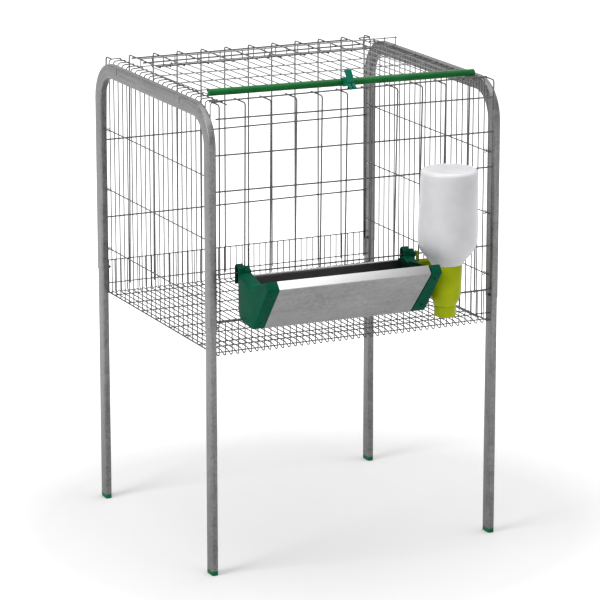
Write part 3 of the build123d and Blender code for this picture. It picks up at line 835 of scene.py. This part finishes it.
# slant leans the joint with the sheet, taper the outer face, and shift moves the hook along X
def buildEnd(name, innerX, width, way, slant, gap, taper, shift):
    loop = roundLoop(inside(ends["outline"]), ends["bends"], 5)
    middle = sum(loop, Vector()) / len(loop)
    outerX = innerX + way * width
    edge = ends["edge"]

    def nearRing(reach, inset):
        return [place + point(innerX + way * reach - slant * footward(place), 0, 0)
                for place in insetLoop(loop, inset)]

    def farRing(reach, inset, share=1.0):
        ring = [middle + (place - middle) * share for place in insetLoop(loop, inset)]
        return [place + point(outerX - way * (reach + taper * footward(place)), 0, 0) for place in ring]

    piece = Piece(name)
    rings = [nearRing(gap, ends["lip"]), nearRing(gap + ends["lip"], 0)]
    for angle in quarter(5):
        rings.append(farRing(ends["rimIn"] + edge * (1 - sin(angle)), edge * (1 - cos(angle))))
    rings += [farRing(reach, edge, share) for reach, share in ends["crown"]]
    piece.loft(rings)
    saddle = roundLoop(inside(ends["saddle"]), ends["saddleBends"], 5)
    start, end = sorted((innerX + shift, outerX + shift / 2))
    piece.slab(saddle, start, start + ends["ring"], ends["saddleEdge"])
    lower = [place - point(0, 0, ends["step"]) for place in saddle]
    piece.slab(lower, start + ends["ring"] - 1, end, ends["saddleEdge"])
    body = piece.done("cage", "bracket_plastic", bracketPlastic, [name])
    cutter = Piece("cutter")
    deep, wide = trough["deep"], trough["wide"]
    down = point(0, wide, -deep).normalized()
    normal = point(0, -deep, -wide).normalized()
    for z in ends["holeZ"]:
        share = (trough["rimZ"] - z) / deep
        centre = point((innerX + outerX) / 2 - slant * share / 2, trough["foldY"] + wide * share, z)
        rings = []
        for depth in (ends["holeFrom"], ends["holeTo"]):
            spot = centre + normal * depth
            rings.append([spot + point(a, 0, 0) + down * b for a, b in circle(ends["hole"], 14)])
        cutter.loft(rings)
    start, end = ends["barX"] - ends["barRoom"], ends["barX"] + ends["barRoom"]
    if min(innerX, outerX) < ends["barX"] < max(innerX, outerX):
        cutter.slab(inside(ends["barCut"]), start, end)
    carve(body, cutter)
    sagged(body)
    # painted shade: a near-black web closes the hollow under each cap's hook, where there is only shade
    web = Piece(name + "_web")
    shape = roundLoop(inside(ends["web"]), ends["webBends"], 3)
    end = min(innerX, outerX) + ends["webIn"] + shift
    web.slab(shape, end, end + ends["webThick"])
    if gap:                     # in the same painted shade, a thinner tongue reaches into the trough behind the open joint
        reaches = (ends["tongueFrom"], ends["tongueTo"])
        web.loft([nearRing(reach, ends["tongueInset"]) for reach in reaches])
    sagged(web.done("cage", "bracket_plastic", paintedShadePlastic))


buildTrough()
buildEnd("trough_end_left", trough["leftX"], width=24, way=-1, slant=0, gap=0, taper=0.5, shift=0)
buildEnd(
    "trough_end_right", trough["rightX"], width=25.5, way=1, slant=trough["slant"], gap=3, taper=1,
    shift=7.5)
print("trough ready")


# drinker

drinker = {
    "x": 150.4, "y": -257, "lean": 0.021, "leanFrom": 455, "socketShift": 0.6,
    "top": 721, "rim": 51.8, "body": 54.6, "shoulder": 7,
    "crown": ((0, -2.4), (8, -2.2), (30, -1.2), (39, -0.2)),
    "neck": ((52.0, 580.5), (49.0, 573), (44.4, 566.5), (38.8, 560.2), (33.6, 554), (30.6, 549.6),
             (28.9, 546.9), (26.4, 546.4), (21, 546), (21, 516), (19.6, 516), (19.6, 547.6), (27, 548.4),
             (31.6, 553), (36.8, 559.6), (42.4, 566), (47.2, 573.6), (50.2, 581), (51.8, 590), (52.0, 600)),
    "socket": ((0, 450.6), (14, 450.3), (18, 450), (19.3, 450.8), (19.9, 452.4), (20.1, 469.2),
               (19.6, 469.9), (19.6, 471), (20.4, 471.9), (21.4, 474), (24.6, 480.4), (27.2, 486.6),
               (28.0, 491), (28.6, 545.8), (28.3, 546.6), (26.8, 546.6), (26.5, 546), (26, 496),
               (24, 492), (0, 492)),
    "cupX": 155, "cupHalf": 23, "cupAhead": 24, "cupBackY": -156, "cupLow": 500, "cupHigh": 533,
    "cupWall": 2.0, "cupBend": 12, "cupInnerBend": 10,
    "arm": ((-203, 540), (-203, 561), (-194.2, 561), (-194.2, 550), (-196.4, 550), (-196.4, 557.8),
            (-200.4, 557.8), (-200.4, 540)),
    "armHalf": 3, "lug": (-38.5, -34.5), "armEdge": 0.4,
    "bar": ((-203, 533), (-203, 541), (-200.6, 541), (-200.6, 533)), "barTo": 4, "barEdge": 0.3,
}


def leaned(item):               # the real drinker leans a little to the right
    for vertex in item.data.vertices:
        vertex.co.x += (vertex.co.z - drinker["leanFrom"] * mm) * drinker["lean"]
    return item


def buildBottle():
    rim, body, top, bend = drinker["rim"], drinker["body"], drinker["top"], drinker["shoulder"]
    # radius and height, from the top down outside and up again inside
    profile = [(radius, top + drop) for radius, drop in drinker["crown"]]
    for angle in quarter(6):
        profile.append((rim - bend + bend * sin(angle), top - bend + bend * cos(angle)))
    profile += [(rim + 0.3, 700), (rim + 1.1, 660), (body, 610), (body, 596), (body - 0.2, 588)]
    profile += drinker["neck"]
    profile += [(rim - 0.9, 690), (rim - 1.5, top - 9), (rim - 6, top - 3), (36, top - 2.8), (0, top - 3.8)]
    piece = Piece("drinker_bottle")
    piece.lathe(profile, drinker["x"], drinker["y"], 80)
    leaned(piece.done("cage", "bottle_plastic", bottlePlastic, ["drinker_bottle"]))


def buildBase():
    x, y = drinker["x"] - drinker["socketShift"], drinker["y"]
    piece = Piece("drinker_base")
    piece.lathe(drinker["socket"], x, y)
    middle, half, wall = drinker["cupX"], drinker["cupHalf"], drinker["cupWall"]
    low, high = drinker["cupLow"], drinker["cupHigh"]
    ahead, back = y + drinker["cupAhead"], drinker["cupBackY"]

    def cupRing(z, inset, bend):
        section = roundBox(2 * (half - inset), back - ahead - 2 * inset, bend, 6)
        return [point(middle + a, (ahead + back) / 2 + b, z) for a, b in section]

    # height and inset of each ring, up the outer side and down the inner one
    outer = ((low, 3.0), (low + 0.9, 1.0), (low + 3, 0), (high - 0.6, 0), (high, 0.5))
    inner = ((high, wall - 0.4), (high - 0.6, wall), (low + 4.5, wall), (low + 2.2, wall + 2.5))
    rings = [cupRing(z, inset, drinker["cupBend"]) for z, inset in outer]
    rings += [cupRing(z, inset, drinker["cupInnerBend"]) for z, inset in inner]
    piece.loft(rings)
    for start, end in ((-drinker["armHalf"], drinker["armHalf"]), drinker["lug"]):
        piece.slab(inside(drinker["arm"]), middle + start, middle + end, drinker["armEdge"])
    start, end = drinker["lug"][0], drinker["barTo"]
    piece.slab(inside(drinker["bar"]), middle + start, middle + end, drinker["barEdge"])
    leaned(piece.done("cage", "drinker_plastic", limePlastic, ["drinker_base"]))


buildBottle()
buildBase()
print("drinker ready")


# floor, light and camera

stage = {"radii": (9000, 3000, 900), "sides": 64, "lift": 0.08, "near": 0.2, "far": 0.6, "sky": 0.45}
lamps = {       # place, target, size in metres, power in watts
    "lamp_left": ((-3.0, -0.5, 2.2), (0, 0, 0.6), 1.6, 52),
    "lamp_top": ((0.4, -0.4, 3.4), (0, 0, 0.5), 3.0, 60),
}
eye = {"place": (-2.6262, -5.4464, 2.0103), "turn": (75.4, 0, -25.59), "lens": 201.7, "sensor": 36}


def buildStage():
    piece = Piece("stage_floor")
    sides = stage["sides"]
    rings = [[point(a, b, 0) for a, b in circle(radius, sides)] for radius in stage["radii"]]
    rows = [[piece.mesh.verts.new(place * mm) for place in ring] for ring in rings]
    for one, two in zip(rows, rows[1:]):
        for n in range(sides):
            m = (n + 1) % sides
            piece.mesh.faces.new((one[n], one[m], two[m], two[n]))
    piece.mesh.faces.new(rows[-1])
    finish = Finish("stage_white")
    seen = finish.add("LightPath", {}, {}, "Is Camera Ray")
    for kind in ("Is Glossy Ray", "Is Transmission Ray"):
        seen = finish.add("Math", {"operation": "MAXIMUM"}, {
            0: seen, 1: finish.add("LightPath", {}, {}, kind)})
    away = finish.add("VectorMath", {"operation": "LENGTH"}, {0: finish.place()}, "Value")
    far = finish.ramp(away * 0.4, stage["near"], stage["far"])
    level = stage["lift"] + far * (1 - stage["lift"])
    paint = finish.add("BsdfDiffuse", {}, {"Color": (0.9, 0.9, 0.9, 1)})
    glow = finish.add("Emission", {}, {"Color": (1, 1, 1, 1), "Strength": seen * level})
    both = finish.add("AddShader", {}, {0: paint, 1: glow})
    finish.add("OutputMaterial", {}, {"Surface": both})
    data = bpy.data.meshes.new("stage_floor")
    piece.mesh.to_mesh(data)
    piece.mesh.free()
    data.materials.append(finish.material)
    item = bpy.data.objects.new("stage_floor", data)
    bpy.context.scene.collection.objects.link(item)


def buildWorld():
    world = bpy.data.worlds.new("studio")
    bpy.context.scene.world = world
    world.use_nodes = True
    nodes, join = world.node_tree.nodes, world.node_tree.links.new
    nodes.clear()
    path = nodes.new("ShaderNodeLightPath")
    seen = path.outputs["Is Camera Ray"]
    for kind in ("Is Glossy Ray", "Is Transmission Ray"):
        highest = nodes.new("ShaderNodeMath")
        highest.operation = "MAXIMUM"
        join(seen, highest.inputs[0])
        join(path.outputs[kind], highest.inputs[1])
        seen = highest.outputs[0]
    blend = nodes.new("ShaderNodeMixShader")
    join(seen, blend.inputs[0])
    for n, level in enumerate((stage["sky"], 1)):
        sky = nodes.new("ShaderNodeBackground")
        sky.inputs["Color"].default_value = (1, 1, 1, 1)
        sky.inputs["Strength"].default_value = level
        join(sky.outputs[0], blend.inputs[n + 1])
    output = nodes.new("ShaderNodeOutputWorld")
    join(blend.outputs[0], output.inputs[0])


def addLamp(name, place, target, size, power):
    data = bpy.data.lights.new(name, "AREA")
    data.shape = "SQUARE"
    data.size = size
    data.energy = power
    item = bpy.data.objects.new(name, data)
    item.location = place
    item.rotation_euler = (Vector(target) - Vector(place)).to_track_quat("-Z", "Y").to_euler()
    bpy.context.scene.collection.objects.link(item)


buildStage()
buildWorld()
for name, (place, target, size, power) in lamps.items():
    addLamp(name, place, target, size, power)

camera = bpy.data.cameras.new("camera")
camera.lens = eye["lens"]
camera.sensor_width = eye["sensor"]
holder = bpy.data.objects.new("camera", camera)
holder.location = eye["place"]
holder.rotation_euler = [radians(angle) for angle in eye["turn"]]
bpy.context.scene.collection.objects.link(holder)
bpy.context.scene.camera = holder
bpy.context.scene.view_settings.view_transform = "Standard"

print("scene ready")
